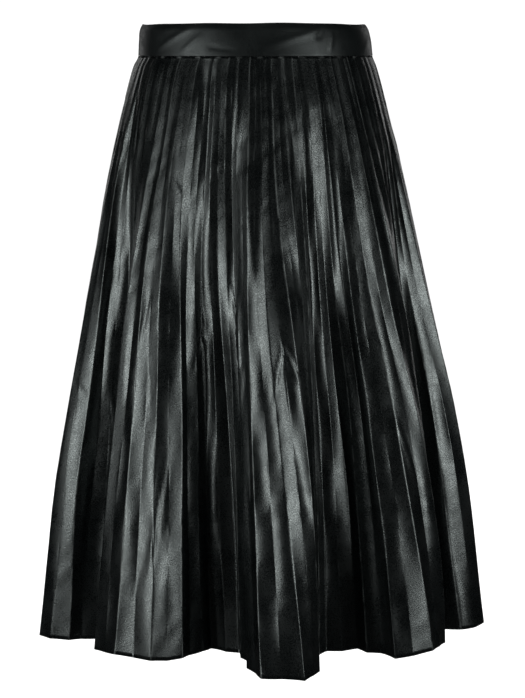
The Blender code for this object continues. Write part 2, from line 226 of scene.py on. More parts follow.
# Creases pressed into single flats: column and share down, length and half-width, turn from the
# fall line in degrees, and depth, which is outward where it is positive
Crease = namedtuple("Crease", "column down length turn width depth")
CREASES = tuple(
    Crease(*row)
    for row in (
        (35.5, 0.81, 0.040, 32, 0.0022, -0.0009),
        (38.0, 0.56, 0.032, 58, 0.0024, -0.0010),
        (41.5, 0.62, 0.055, 14, 0.0030, 0.0014),
        (46.5, 0.36, 0.050, -14, 0.0020, 0.0011),
        (48.4, 0.51, 0.012, 88, 0.0010, -0.0008),
        (49.4, 0.44, 0.060, -10, 0.0022, -0.0009),
        (50.3, 0.55, 0.050, 9, 0.0011, -0.0008),
        (50.6, 0.62, 0.028, -38, 0.0012, -0.0007),
        (51.2, 0.77, 0.140, -9, 0.0030, 0.0014),
        (50.4, 0.84, 0.090, -14, 0.0022, -0.0008),
        (52.5, 0.22, 0.020, 50, 0.0014, 0.0008),
        (55.5, 0.48, 0.060, -22, 0.0028, -0.0012),
        (60.4, 0.45, 0.085, 13, 0.0022, 0.0016),
        (61.3, 0.53, 0.045, -12, 0.0020, 0.0014),
        (61.8, 0.78, 0.130, 4, 0.0036, -0.0009),
        (60.6, 0.66, 0.060, -6, 0.0024, -0.0006),
        (63.7, 0.64, 0.012, 90, 0.0010, -0.0008),
        (65.4, 0.51, 0.055, -20, 0.0024, 0.0014),
        (66.6, 0.50, 0.050, 22, 0.0022, 0.0016),
        (66.0, 0.55, 0.050, 2, 0.0050, -0.0008),
        (66.4, 0.86, 0.080, -12, 0.0024, 0.0009),
        (69.4, 0.58, 0.040, 8, 0.0016, 0.0010),
        (79.5, 0.66, 0.060, 10, 0.0024, 0.0012),
        (81.5, 0.44, 0.070, -9, 0.0030, -0.0010),
        (85.5, 0.74, 0.045, 26, 0.0020, -0.0009),
        (92.5, 0.58, 0.040, -30, 0.0022, 0.0010),
        (99.5, 0.66, 0.060, 14, 0.0026, 0.0012),
        (103.5, 0.40, 0.045, -32, 0.0020, -0.0009),
        (108.5, 0.72, 0.080, -10, 0.0028, 0.0013),
        (111.5, 0.52, 0.014, 86, 0.0011, -0.0008),
        (115.5, 0.60, 0.050, 22, 0.0022, 0.0012),
        (119.5, 0.82, 0.070, 9, 0.0028, -0.0011),
        (123.5, 0.56, 0.045, -18, 0.0020, 0.0011),
        (4.5, 0.62, 0.060, 12, 0.0024, 0.0012),
        (8.5, 0.48, 0.040, -28, 0.0022, -0.0010),
        (12.5, 0.76, 0.080, 9, 0.0030, 0.0012),
        (16.5, 0.54, 0.014, 88, 0.0011, -0.0008),
        (19.5, 0.66, 0.055, -16, 0.0022, 0.0012),
        (24.5, 0.58, 0.045, 24, 0.0020, -0.0010),
        (28.5, 0.80, 0.070, -10, 0.0026, 0.0012),
    )
)
CREASE_REACH = (-0.0012, 0.0022)
CREASE_FROM = 0.05
CREASE_EDGE_FADE = 2.5

# Beside each crease of a flat the cloth gives way the other way: by this share of the crease's
# depth, at this place and with this breadth, both in half-widths of the crease
SHOULDER = 0.45
SHOULDER_PLACE = 1.7
SHOULDER_BREADTH = 1.3

# Ridges painted palest, for rubbing and as painted highlight along their rounded edge; the others a
# little, each by its own share
WORN_AND_HIGHLIT_RIDGES = (11, 21, 27, 35, 39, 49, 53, 59, 63, 67, 71, 79, 83, 89, 97, 105, 113, 123)
WORN_AND_HIGHLIT_WIDTH = 0.0012
LEAST_WEAR_AND_HIGHLIGHT = 0.10
WEAR_AND_HIGHLIGHT_SPREAD = 0.45
WEAR_AND_HIGHLIGHT_AT_SEAM = 0.25
WORN_AND_HIGHLIT_FROM = 0.35
# Pale dashes painted along the top row under the seam, for rubbing and as painted highlight on the pleat
# tops
SEAM_WEAR_AND_HIGHLIGHT = 0.8
SEAM_WEAR_AND_HIGHLIGHT_LENGTHS = (5.0, 2.1)


def eased_row(table, at):
    """The other columns of a table at one value of its first column, eased with no overshoot."""
    rows = np.array(sorted(table))
    places, values = rows[:, 0], rows[:, 1:]
    steps = np.diff(values, axis=0) / np.diff(places)[:, None]
    before, after = steps[:-1], steps[1:]
    same_way = before * after > 0
    total = np.where(same_way, before + after, 1.0)
    inner = np.where(same_way, 2 * before * after / total, 0.0)
    slopes = np.vstack([steps[:1], inner, steps[-1:]])
    low = int(np.clip(np.searchsorted(places, at) - 1, 0, len(places) - 2))
    high = low + 1
    step = places[high] - places[low]
    part = np.clip((at - places[low]) / step, 0.0, 1.0)
    return (
        (1 + 2 * part) * (1 - part) ** 2 * values[low]
        + part * (1 - part) ** 2 * step * slopes[low]
        + part * part * (3 - 2 * part) * values[high]
        + part * part * (part - 1) * step * slopes[high]
    )


def girth_curve(height, angles):
    """Points of the oval girth and its outward normals, at angles from the front to the right."""
    left, right, front, back = eased_row(GIRTHS, height)
    across = np.sin(np.radians(angles))
    ahead = np.cos(np.radians(angles))
    width = np.where(across < 0, left, right)
    depth = np.where(ahead > 0, front, back)
    points = np.stack([width * across, -depth * ahead], axis=1)
    normals = np.stack([across / width, -ahead / depth], axis=1)
    normals /= np.linalg.norm(normals, axis=1)[:, None]
    return points, normals


def drape(angles, down):
    """Reach out of the girth, lift of the hem and share of crest, at angles and a share down."""
    waist_angle, hem_angle, reach, breadth, start, lift = np.array(FOLDS).T
    places = waist_angle + (hem_angle - waist_angle) * down
    starts = np.append(places - places[0], 360.0)
    turned = (angles - places[0]) % 360
    this = np.clip(np.searchsorted(starts, turned, side="right") - 1, 0, len(FOLDS) - 1)
    after = (this + 1) % len(FOLDS)
    turn = (turned - starts[this]) / (starts[this + 1] - starts[this])
    wall_place = breadth[this] / (breadth[this] + breadth[after])
    turn = turn ** (np.log(0.5) / np.log(wall_place))
    steep = 0.5 + 0.5 * np.tanh(FOLD_STEEPNESS * np.cos(np.pi * turn)) / np.tanh(FOLD_STEEPNESS)
    soft = 0.5 + 0.5 * np.cos(np.pi * turn)
    grown = reach * np.clip((down - start) / (1 - start), 0.0, 1.0) ** FOLD_GROWTH
    crest = (reach > 0).astype(float)

    def between(column, weight):
        return column[after] + (column[this] - column[after]) * weight

    return between(grown, steep), between(lift, soft), between(crest, steep)


def waves(seed, count, places, lengths):
    """A slow wander along one axis for each of count lines: sums of a few seeded waves."""
    dice = np.random.RandomState(seed)
    total = np.zeros((len(places), count))
    for length in lengths:
        phase = dice.uniform(0, 2 * np.pi, count)
        stretch = dice.uniform(*WAVE_STRETCH, count)
        size = dice.normal(0.0, 1.0, count)
        total += size * np.sin(2 * np.pi * places[:, None] / (length * stretch) + phase)
    return total / math.sqrt(len(lengths))


def mitres(points):
    """At each point of closed rings, the vector that moves both its flats out by one unit."""
    along = np.roll(points, -1, axis=1) - points
    leaving = np.stack([along[..., 1], -along[..., 0]], axis=-1)
    leaving /= np.linalg.norm(leaving, axis=-1)[..., None]
    arriving = np.roll(leaving, 1, axis=1)
    both = leaving + arriving
    return both / (1 + (leaving * arriving).sum(axis=-1))[..., None]


def panel_width(downs):
    """Width of one flat at shares down the skirt."""
    return PANEL_AT_SEAM + (PANEL_AT_HEM - PANEL_AT_SEAM) * downs


def growing(downs, over):
    """For each row, a share that grows from none at the seam to all at one share down."""
    return np.clip(downs / over, 0.0, 1.0)[:, None]


def on_line(at, places, points):
    """Points of a line in the plane, at other places along it."""
    return np.stack([np.interp(at, places, points[:, axis]) for axis in (0, 1)], axis=1)


def swelling(downs):
    """How far the listed swells move each column of pleats out, rows down by columns."""
    out = np.zeros((len(downs), COLUMNS))
    for swell in SWELLS:
        apart = (np.arange(COLUMNS) - swell.column + COLUMNS / 2) % COLUMNS - COLUMNS / 2
        across = np.exp(-((apart / swell.breadth) ** 2))
        along = np.exp(-(((downs - swell.down) / swell.length) ** 2))
        out += swell.height * along[:, None] * across[None]
    return SWELL_SHARE * out * panel_width(downs)[:, None] * growing(downs, SWELL_FROM)


def fold_lines(downs):
    """Middle of the wall along the fold lines: places and heights, rows down by columns."""
    loose = np.ones(COLUMNS)
    for first, _ in PANELS.values():
        loose[first] = 0.0
    drift = waves(SEED, COLUMNS, downs, WANDER_LENGTHS) * loose * WANDER
    drift *= growing(downs, WANDER_FROM)
    uneven = 1 + UNEVEN_DEPTH * waves(SEED + 1, COLUMNS, downs, UNEVEN_LENGTHS) * loose
    sag = HEM_SAG * waves(SEED + 2, COLUMNS, downs, HEM_SAG_LENGTHS) * (downs**4)[:, None]
    swell = swelling(downs)
    angles = 180.0 + np.arange(CARRIER_POINTS + 1) * 360.0 / CARRIER_POINTS
    outward = np.where(np.arange(COLUMNS) % 2 == 0, -0.5, 0.5)
    lines, heights = [], []
    for row, down in enumerate(downs):
        girth, normals = girth_curve(SEAM_HEIGHT - CLOTH_LENGTH * down, angles)
        reach, lift, crest = drape(angles, down)
        ring = girth + normals * reach[:, None]
        step = np.linalg.norm(np.diff(ring, axis=0), axis=1)
        opened = 1 + OPENED_ON_CRESTS * down * (2 * crest[1:] - 1)
        filled = np.concatenate([[0.0], np.cumsum(step / opened)])
        travel = np.concatenate([[0.0], np.cumsum(step)])
        at = (np.arange(COLUMNS) + drift[row]) * filled[-1] / COLUMNS
        at = np.append(at, filled[-1] + at[0])
        points = on_line(at % filled[-1], filled, ring)
        half_pitch = np.diff(np.interp(at, filled, travel))
        rise = HOLLOW_RISE + (CREST_RISE - HOLLOW_RISE) * np.interp(at[:-1], filled, crest)
        rise = SEAM_RISE + (rise - SEAM_RISE) * min(down / PRESSED_SHARE, 1.0)
        depth = rise * uneven[row] * (half_pitch + np.roll(half_pitch, 1)) / 2
        out = on_line(at[:-1], filled, normals)
        ring = points[:-1] + out * swell[row][:, None]
        lines.append(ring + mitres(ring[None])[0] * (outward * depth)[:, None])
        hang = np.interp(at[:-1], filled, lift)
        heights.append(SEAM_HEIGHT + (hang - CLOTH_LENGTH) * down + sag[row])
    return np.array(lines), np.array(heights)


def crease_depth(crease, along, across, shoulder):
    """How far a crease moves the cloth out, at places along and across its middle."""
    turn = math.radians(crease.turn)
    length = along * math.cos(turn) + across * math.sin(turn)
    side = across * math.cos(turn) - along * math.sin(turn)
    fade = np.exp(-((2 * length / crease.length) ** 4))
    fall = np.exp(-((side / crease.width) ** 2))
    beside = (side - SHOULDER_PLACE * crease.width) / (SHOULDER_BREADTH * crease.width)
    fall -= shoulder * np.exp(-(beside**2))
    return crease.depth * fall * fade


def creased(columns, downs, widths):
    """Displacement of the flats by the listed creases and by a fine ripple."""
    out = np.zeros((len(downs), len(columns)))
    for crease in CREASES:
        across = (columns[None] - crease.column) * widths[:, None]
        along = np.broadcast_to((downs[:, None] - crease.down) * CLOTH_LENGTH, across.shape)
        out += crease_depth(crease, along, across, SHOULDER)
    dice = np.random.RandomState(SEED + 7)
    across = columns[None] * widths[:, None]
    along = np.broadcast_to(downs[:, None] * CLOTH_LENGTH, across.shape)
    for _ in range(RIPPLE_WAVES):
        length = dice.uniform(*RIPPLE_LENGTHS)
        turn = dice.normal(0.0, RIPPLE_SPREAD)
        phase = dice.uniform(0, 2 * np.pi)
        wave = (across * math.cos(turn) + along * math.sin(turn)) / length
        out += RIPPLE * np.sin(2 * np.pi * wave + phase)
    return np.clip(out, *CREASE_REACH)


def rounded(flat, corner, start_way, end_way, away, radius):
    """A flat's points, led round a fold line at its corner where they are nearer than the radius."""
    turn = (0.5 + 0.5 * away / radius)[..., None]
    start = corner + start_way * radius[..., None]
    end = corner + end_way * radius[..., None]
    curve = (1 - turn) ** 2 * start + 2 * turn * (1 - turn) * corner + turn**2 * end
    return np.where((away < radius)[..., None], curve, flat)


def worn_and_highlit_shares(columns, downs, dice):
    """How pale each outer point is painted, for rubbing and as painted highlight: along the ridges, and
    unevenly along the top row.
    """
    away = np.abs(1 - columns % 2)[None] * panel_width(downs)[:, None]
    wear_and_highlight = LEAST_WEAR_AND_HIGHLIGHT + WEAR_AND_HIGHLIGHT_SPREAD * dice.uniform(0.0, 1.0, PLEATS) ** 2
    wear_and_highlight[np.array(WORN_AND_HIGHLIT_RIDGES) // 2] = 1.0
    nearest = (columns // 2).astype(int) % PLEATS
    ridge_wear_and_highlight = np.clip(1 - away / WORN_AND_HIGHLIT_WIDTH, 0.0, 1.0) * wear_and_highlight[nearest][None]
    ridge_wear_and_highlight *= np.clip(WEAR_AND_HIGHLIGHT_AT_SEAM + downs / WORN_AND_HIGHLIT_FROM, 0.0, 1.0)[:, None]
    # Painted pale dashes along the top row: rubbing, and painted highlight on the pleat tops
    seam = SEAM_WEAR_AND_HIGHLIGHT * waves(SEED + 9, 1, columns, SEAM_WEAR_AND_HIGHLIGHT_LENGTHS).T[0]
    ridge_wear_and_highlight[0] = np.maximum(ridge_wear_and_highlight[0], seam)
    return ridge_wear_and_highlight


def skirt_skins():
    """Outer and inner skins round the whole skirt, with the share of paleness for each outer point,
    painted for rubbing and as painted highlight.
    """
    dice = np.random.RandomState(SEED + 3)
    softness = dice.uniform(0.0, 1.0, COLUMNS) ** FOLD_SHARPNESS
    radius_at_hem = FOLD_RADIUS[0] + (FOLD_RADIUS[1] - FOLD_RADIUS[0]) * softness
    skins = []
    for rows, stations, side in ((ROWS, STATIONS, 1), (INNER_ROWS, INNER_STATIONS, -1)):
        downs = (np.arange(rows) / (rows - 1)) ** ROW_CROWDING
        lines, heights = fold_lines(downs)
        here = lines + mitres(lines) * side * SKIRT_WALL / 2
        there = np.roll(here, -1, axis=1)
        ahead = there - here
        widths = np.linalg.norm(ahead, axis=-1)
        ahead /= widths[..., None]
        behind = -np.roll(ahead, 1, axis=1)
        beyond = np.roll(ahead, -1, axis=1)
        narrow = np.minimum(widths, np.roll(widths, 1, axis=1))
        grown = FOLD_RADIUS_AT_SEAM + (1 - FOLD_RADIUS_AT_SEAM) * downs[:, None]
        radius = np.minimum(radius_at_hem * grown, WIDEST_FOLD * narrow)
        next_radius = np.roll(radius, -1, axis=1)
        normals = np.stack([ahead[..., 1], -ahead[..., 0]], axis=-1)
        bow = BOW * waves(SEED + 4, COLUMNS, downs, BOW_LENGTHS) * (widths / PANEL_AT_HEM)
        grid = []
        for share in stations[:-1]:
            flat = here + (there - here) * share
            flat = rounded(flat, here, behind, ahead, share * widths, radius)
            flat = rounded(flat, there, beyond, -ahead, (1 - share) * widths, next_radius)
            flat = flat + normals * (bow * 4 * share * (1 - share))[..., None]
            height = heights + (np.roll(heights, -1, axis=1) - heights) * share
            grid.append(np.concatenate([flat, height[..., None]], axis=-1))
        count = len(stations) - 1
        points = np.stack(grid, axis=2).reshape(rows, COLUMNS * count, 3)
        if side > 0:
            shares = np.array(stations[:-1])
            columns = (np.arange(COLUMNS)[:, None] + shares[None]).ravel()
            shift = creased(columns, downs, panel_width(downs))
            edge = np.tile(4 * shares * (1 - shares), COLUMNS)
            shift *= np.clip(edge * CREASE_EDGE_FADE, 0.0, 1.0)
            shift *= growing(downs, CREASE_FROM)
            points[..., :2] += np.repeat(normals, count, axis=1) * shift[..., None]
            ridge_wear_and_highlight = worn_and_highlit_shares(columns, downs, dice)
        skins.append(points)
    return skins[0], skins[1], ridge_wear_and_highlight


def stitch(upper, lower, upper_at, lower_at):
    """Triangles between two lines of points with different counts, by their places along them."""
    above = below = 0
    faces = []
    while above < len(upper) - 1 or below < len(lower) - 1:
        step_upper = below == len(lower) - 1 or (
            above < len(upper) - 1 and upper_at[above + 1] <= lower_at[below + 1]
        )
        if step_upper:
            faces.append((upper[above], lower[below], upper[above + 1]))
            above += 1
        else:
            faces.append((upper[above], lower[below], lower[below + 1]))
            below += 1
    return faces


def quads(*corners):
    """Faces of four points each, from four grids or lines of point numbers."""
    return [tuple(face) for face in np.stack(corners, axis=-1).reshape(-1, 4).tolist()]


def grid_faces(first, rows, columns):
    """Quads of a grid of points, numbered along its rows from first."""
    at = first + np.arange(rows * columns).reshape(rows, columns)
    return at, quads(at[:-1, :-1], at[1:, :-1], at[1:, 1:], at[:-1, 1:])


def mesh_object(name, points, faces, materials, indices=None, smooth=None):
    """An object of one mesh, linked to the scene."""
    data = bpy.data.meshes.new(name)
    data.from_pydata([tuple(point) for point in np.asarray(points).tolist()], [], faces)
    for material in materials:
        data.materials.append(material)
    if indices is not None:
        data.polygons.foreach_set("material_index", indices)
    data.polygons.foreach_set("use_smooth", [True] * len(faces) if smooth is None else smooth)
    data.validate()
    data.update()
    obj = bpy.data.objects.new(name, data)
    bpy.context.scene.collection.objects.link(obj)
    return obj


def skirt_piece(node, skins, leather, backing):
    """One cut piece of the pleated cloth, with its inner skin and its raw edges."""
    first, last = PANELS[node]
    cut = []
    for skin, stations in zip(skins, (STATIONS, INNER_STATIONS, STATIONS)):
        count = len(stations) - 1
        columns = np.arange(first * count, last * count + 1) % (COLUMNS * count)
        cut.append(skin[:, columns])
    outer, inner, worn_and_highlit = cut
    out_at, out_faces = grid_faces(0, *outer.shape[:2])
    in_at, in_faces = grid_faces(out_at.size, *inner.shape[:2])
    in_faces = [face[::-1] for face in in_faces]
    flats = np.arange(last - first)[:, None]
    across_out = np.append(flats + np.array(STATIONS[:-1]), last - first)
    across_in = np.arange(in_at.shape[1]) / (len(INNER_STATIONS) - 1)
    down_out = np.arange(ROWS) / (ROWS - 1)
    down_in = np.arange(INNER_ROWS) / (INNER_ROWS - 1)
    rims = []
    for out_line, in_line, out_place, in_place, flip in (
        (out_at[0], in_at[0], across_out, across_in, True),
        (out_at[-1], in_at[-1], across_out, across_in, False),
        (out_at[:, 0], in_at[:, 0], down_out, down_in, False),
        (out_at[:, -1], in_at[:, -1], down_out, down_in, True),
    ):
        rim = stitch(out_line.tolist(), in_line.tolist(), out_place, in_place)
        rims += [face[::-1] for face in rim] if flip else rim
    points = np.concatenate([outer.reshape(-1, 3), inner.reshape(-1, 3)])
    faces = out_faces + in_faces + rims
    indices = [0] * len(out_faces) + [1] * len(in_faces) + [0] * len(rims)
    smooth = [True] * (len(out_faces) + len(in_faces)) + [False] * len(rims)
    obj = mesh_object(node + "_cloth", points, faces, (leather, backing), indices, smooth)
    # The outer points' paleness, for rubbing and as painted highlight, goes to the shader as a point
    # attribute
    wear_and_highlight = np.append(worn_and_highlit.ravel(), np.zeros(in_at.size)).astype(np.float32)
    obj.data.attributes.new("ridge_wear_and_highlight", "FLOAT", "POINT").data.foreach_set("value", wear_and_highlight)
    return obj


# Waistband. Its rises are shares of the height from its foot to where the fold over the top begins.
BAND_STATIONS = 360
BAND_ROWS = 20
BAND_FIRST_ROW = 0.02
BAND_TURNS = (20, 45, 70, 90)
BAND_FOLD = BAND_WALL / 2
BAND_FOOT = -BAND_HEIGHT / 2
BAND_SHOULDER = BAND_HEIGHT / 2 - BAND_FOLD
BAND_FOOT_TURN = 0.0006
BAND_FOOT_BEVEL = 0.0002
BAND_MEAN_RADIUS = 0.118
BAND_PUFF = 0.0005
BAND_TOP_ROLL = 0.0016
BAND_ROLL_FROM = 0.82
BAND_ROLL_SPAN = 0.18
BAND_TOP_LIFT = 0.0007
BAND_TOP_WAVE = 0.00022
BAND_TOP_WAVE_LENGTHS = (0.21, 0.12, 0.07)
BAND_TOP_WAVE_PHASES = (0, 6.28)
BAND_SIDE_DROP = 0.0012
BAND_CREASE_FOOT_FADE = 4
BAND_CREASE_TOP_FADE = 6
BAND_CREASE_AT_TOP = 0.2

# The notch between the band's two ends, which the slider's neck comes through
NOTCH_HALF_WIDTH = 0.0013
NOTCH_HALF_HEIGHT = 0.0027
NOTCH_ROUNDNESS = 0.4
PIN_HEIGHT = 0.0085

# Creases in the band's face: angle from the front, height, length, turn from level, half-width
# and depth
BandCrease = namedtuple("BandCrease", "angle height length turn width depth")
BAND_CREASES = tuple(
    BandCrease(*row)
    for row in (
        (-42, 0.003, 0.050, 28, 0.0035, 0.0009),
        (-32, -0.004, 0.030, 40, 0.0030, 0.0007),
        (-16, -0.010, 0.028, -8, 0.0028, -0.0007),
        (20, 0.002, 0.055, 18, 0.0040, 0.0008),
        (34, 0.008, 0.018, 60, 0.0035, -0.0009),
        (40, -0.002, 0.022, 75, 0.0025, 0.0007),
        (75, 0.000, 0.040, 30, 0.0040, 0.0006),
        (-80, 0.002, 0.040, -25, 0.0040, 0.0006),
        (115, -0.003, 0.045, 20, 0.0035, 0.0007),
        (140, 0.004, 0.030, -35, 0.0030, -0.0006),
        (-118, 0.000, 0.045, -22, 0.0035, 0.0007),
        (-146, -0.004, 0.030, 30, 0.0030, -0.0006),
    )
)


def band_levels():
    """Heights, and distances from the wall's middle, up the band's face and over half its fold."""
    inset = BAND_FOLD - BAND_FOOT_BEVEL
    levels = [(BAND_FOOT + BAND_FOOT_BEVEL, BAND_FOLD - BAND_FOOT_TURN), (BAND_FOOT, inset)]
    for share in np.linspace(BAND_FIRST_ROW, 1.0, BAND_ROWS):
        levels.append((BAND_FOOT + (BAND_SHOULDER - BAND_FOOT) * share, BAND_FOLD))
    for turn in np.radians(BAND_TURNS):
        levels.append((BAND_SHOULDER + BAND_FOLD * math.sin(turn), BAND_FOLD * math.cos(turn)))
    return levels


def band_face(signed, height, rise):
    """How far the band's face stands out round one height, by its puff and its creases."""
    shift = np.full(len(signed), BAND_PUFF * 4 * rise * (1 - rise))
    fade = min(1.0, BAND_CREASE_FOOT_FADE * rise, BAND_CREASE_TOP_FADE * (1 - rise) + BAND_CREASE_AT_TOP)
    for crease in BAND_CREASES:
        level = (signed - crease.angle) * math.pi / 180 * BAND_MEAN_RADIUS
        shift += crease_depth(crease, level, height - crease.height, 0.0) * fade
    return shift


def waistband(leather, facing):
    """A strip folded over at the top, which lies a little uneven, with its ends at the back."""
    gap = math.degrees(SEAM_GAP / 2 / GIRTHS[1].left)
    angles = np.linspace(180.0 + gap, 540.0 - gap, BAND_STATIONS + 1)
    signed = (angles + 180) % 360 - 180
    around = np.radians(signed) * BAND_MEAN_RADIUS
    dice = np.random.RandomState(SEED + 11)
    top_wave = np.full(len(angles), BAND_TOP_LIFT)
    for length in BAND_TOP_WAVE_LENGTHS:
        phase = dice.uniform(*BAND_TOP_WAVE_PHASES)
        top_wave += BAND_TOP_WAVE * np.sin(2 * np.pi * around / length + phase)
    levels = band_levels()
    rows = []
    for side in (1, -1):
        for height, out in levels if side > 0 else levels[-2::-1]:
            rise = np.clip((height - BAND_FOOT) / (BAND_SHOULDER - BAND_FOOT), 0.0, 1.0)
            points, normals = girth_curve(height, angles)
            shift = band_face(signed, height, rise) if side > 0 else np.zeros(len(angles))
            roll = BAND_TOP_ROLL * np.clip((rise - BAND_ROLL_FROM) / BAND_ROLL_SPAN, 0.0, 1.0) ** 2
            points = points + normals * (side * out + shift - roll)[:, None]
            tall = height + (top_wave - BAND_SIDE_DROP * np.sin(np.radians(signed)) ** 4) * rise
            near = np.clip(1 - np.abs(height - PIN_HEIGHT) / NOTCH_HALF_HEIGHT, 0.0, 1.0)
            part = NOTCH_HALF_WIDTH * near**NOTCH_ROUNDNESS if near > 0 else 0.0
            for end, way in ((0, -1), (-1, 1)):
                points[end, 0] = way * max(abs(points[end, 0]), part)
            rows.append(np.column_stack([points, tall]))
    rows = np.array(rows)
    at, faces = grid_faces(0, *rows.shape[:2])
    faces += quads(at[-1, :-1], at[0, :-1], at[0, 1:], at[-1, 1:])
    faces = [face[::-1] for face in faces]
    faces.append(tuple(at[:, 0].tolist()))
    faces.append(tuple(at[::-1, -1].tolist()))
    flats = len(faces) - 2
    inner_from = (len(levels) + 1) * BAND_STATIONS
    indices = [int(inner_from <= number < flats) for number in range(len(faces))]
    smooth = [True] * flats + [False, False]
    points = rows.reshape(-1, 3)
    return mesh_object("waistband_folded", points, faces, (leather, facing), indices, smooth)


# Concealed zip behind the centre back seam: two woven tapes and the coil between them
TAPE_WIDTH = 0.0100
TAPE_WALL = 0.0006
TAPE_TOP = BAND_HEIGHT / 2 - 0.003
TAPE_ROWS = 120
TAPE_STATIONS = 9
TAPE_SUNK = 0.0005
TAPE_CURVE = 4.0
TAPE_SELVEDGE = 0.0002
COIL_SIDES = 6
COIL_CHANNEL = 0.0030
COIL_TOP = PIN_HEIGHT - 0.0050
COIL_PITCH = 0.0011
COIL_REACH = 0.0018
COIL_STAGGER = 0.0003
COIL_HALF_HEIGHT = 0.00044
COIL_HALF_DEPTH = 0.0006
COIL_SUNK = 0.0010


def zip_line(inner, foot):
    """Depth and height down behind the centre back seam, from the band's top to the zip's foot."""
    seam = inner[:, 0, 1:]
    behind_band = GIRTHS[1].back - BAND_WALL / 2
    band = [(behind_band, TAPE_TOP), (min(behind_band, seam[0][0]), -BAND_HEIGHT / 2)]
    line = np.vstack([band, seam])
    heights = np.linspace(TAPE_TOP, foot, TAPE_ROWS)
    return np.column_stack([np.interp(-heights, -line[:, 1], line[:, 0]), heights])


def zip_tape(name, side, line, material):
    """One half of the tape: a woven strip with a thicker selvedge along each edge."""
    across = np.linspace(0.0, 1.0, TAPE_STATIONS)
    x = side * (COIL_CHANNEL / 2 + TAPE_WIDTH * across)
    thick = TAPE_SELVEDGE * (np.abs(2 * across - 1) ** 6)
    shape = (TAPE_ROWS, TAPE_STATIONS)
    curve = line[:, :1] - TAPE_SUNK - TAPE_CURVE * x[None] ** 2
    skins = []
    for sunk in (0.0 * thick, TAPE_WALL + thick):
        height = np.broadcast_to(line[:, 1:], shape)
        skins.append(np.stack([np.broadcast_to(x, shape), curve - sunk, height], axis=-1))
    front_at, faces = grid_faces(0, *shape)
    back_at, back_faces = grid_faces(front_at.size, *shape)
    faces += [face[::-1] for face in back_faces]
    for front, back in (
        (front_at[0, ::-1], back_at[0, ::-1]),
        (front_at[-1], back_at[-1]),
        (front_at[:, 0], back_at[:, 0]),
        (front_at[::-1, -1], back_at[::-1, -1]),
    ):
        faces += quads(front[:-1], back[:-1], back[1:], front[1:])
    if side > 0:
        faces = [face[::-1] for face in faces]
    points = np.concatenate([skin.reshape(-1, 3) for skin in skins])
    return mesh_object(name, points, faces, (material,))


def zip_coil(line, material):
    """The closed coil below the slider: flat six-sided turns that come in by turns from each side."""
    heights = np.arange(COIL_TOP, line[-1, 1] + COIL_PITCH, -COIL_PITCH)
    depths = np.interp(-heights, -line[:, 1], line[:, 0]) - COIL_SUNK
    turns = np.arange(COIL_SIDES) * 2 * math.pi / COIL_SIDES
    points, faces = [], []
    for count, (depth, height) in enumerate(zip(depths, heights)):
        first = len(points)
        second = first + COIL_SIDES
        shift = COIL_STAGGER * (1 if count % 2 else -1)
        for x in (shift - COIL_REACH, shift + COIL_REACH):
            for turn in turns:
                out = depth + COIL_HALF_DEPTH * math.cos(turn)
                points.append((x, out, height + COIL_HALF_HEIGHT * math.sin(turn)))
        for side in range(COIL_SIDES):
            after = (side + 1) % COIL_SIDES
            faces.append((first + side, first + after, second + after, second + side))
        faces.append(tuple(reversed(range(first, second))))
        faces.append(tuple(range(second, second + COIL_SIDES)))
    return mesh_object("zip_coil", points, faces, (material,), smooth=[False] * len(faces))


# Materials: scales of the leather's patterns, and how far they push its gloss, relief and tone
CLOUD_SCALE = 34.0
SPECK_SCALE = 800.0
PEBBLE_SCALE = 1100.0
SCUFF_AND_HIGHLIGHT_SCALE = 55.0
SCUFF_AND_HIGHLIGHT_RANGE = (0.36, 0.70)
NOISE_RANGE = (0.3, 0.7)
WHOLE_RANGE = (0.0, 1.0)
DULLED_BY = 0.07
POLISHED_BY = 0.05
FLECK = 0.10
GRAIN_STRENGTH = 0.20
PEBBLE_DEPTH = 0.0003
SPECK_DEPTH = 0.0004
# Pale colour painted on the ridges and along the top row: rubbed leather, and painted highlight
WORN_AND_HIGHLIGHT_COLOUR = (0.060, 0.066, 0.064, 1.0)
LEATHER_TINT = (0.90, 1.0, 0.98, 1.0)

# Where a Mix node keeps its two colours and the mixed one
MIX_FIRST = 6
MIX_SECOND = 7
MIX_RESULT = 2


def shader_nodes(name):
    """A new material with its node tree and its shader."""
    material = bpy.data.materials.new(name)
    material.use_nodes = True
    tree = material.node_tree
    return material, tree, tree.nodes["Principled BSDF"]


def put(tree, node, values):
    """Fill a node's inputs: a socket is linked to them, and anything else is their own value."""
    for key, value in values.items():
        if isinstance(value, bpy.types.NodeSocket):
            tree.links.new(value, node.inputs[key])
        else:
            node.inputs[key].default_value = value


def add(tree, kind, values=None, **settings):
    """A new node with its settings and its inputs."""
    node = tree.nodes.new(kind)
    for key, value in settings.items():
        setattr(node, key, value)
    put(tree, node, values or {})
    return node


def noise(tree, place, scale, detail):
    values = {"Vector": place, "Scale": scale, "Detail": detail}
    return add(tree, "ShaderNodeTexNoise", values).outputs["Fac"]


def ranged(tree, value, before, after):
    """A value carried from one range to another."""
    values = {
        "Value": value,
        "From Min": before[0],
        "From Max": before[1],
        "To Min": after[0],
        "To Max": after[1],
    }
    return add(tree, "ShaderNodeMapRange", values).outputs["Result"]


def blend(tree, factor, first, second):
    """A mix of two colours, of which the first may come from a socket."""
    values = {"Factor": factor, MIX_FIRST: first, MIX_SECOND: second}
    return add(tree, "ShaderNodeMix", values, data_type="RGBA").outputs[MIX_RESULT]


def reckoned(tree, operation, first, second):
    return add(tree, "ShaderNodeMath", {0: first, 1: second}, operation=operation).outputs[0]


def relief(tree, height, strength, distance, **under):
    """Normals bumped by a height, over those of another relief where one is given."""
    values = {"Height": height, "Strength": strength, "Distance": distance, **under}
    return add(tree, "ShaderNodeBump", values).outputs["Normal"]


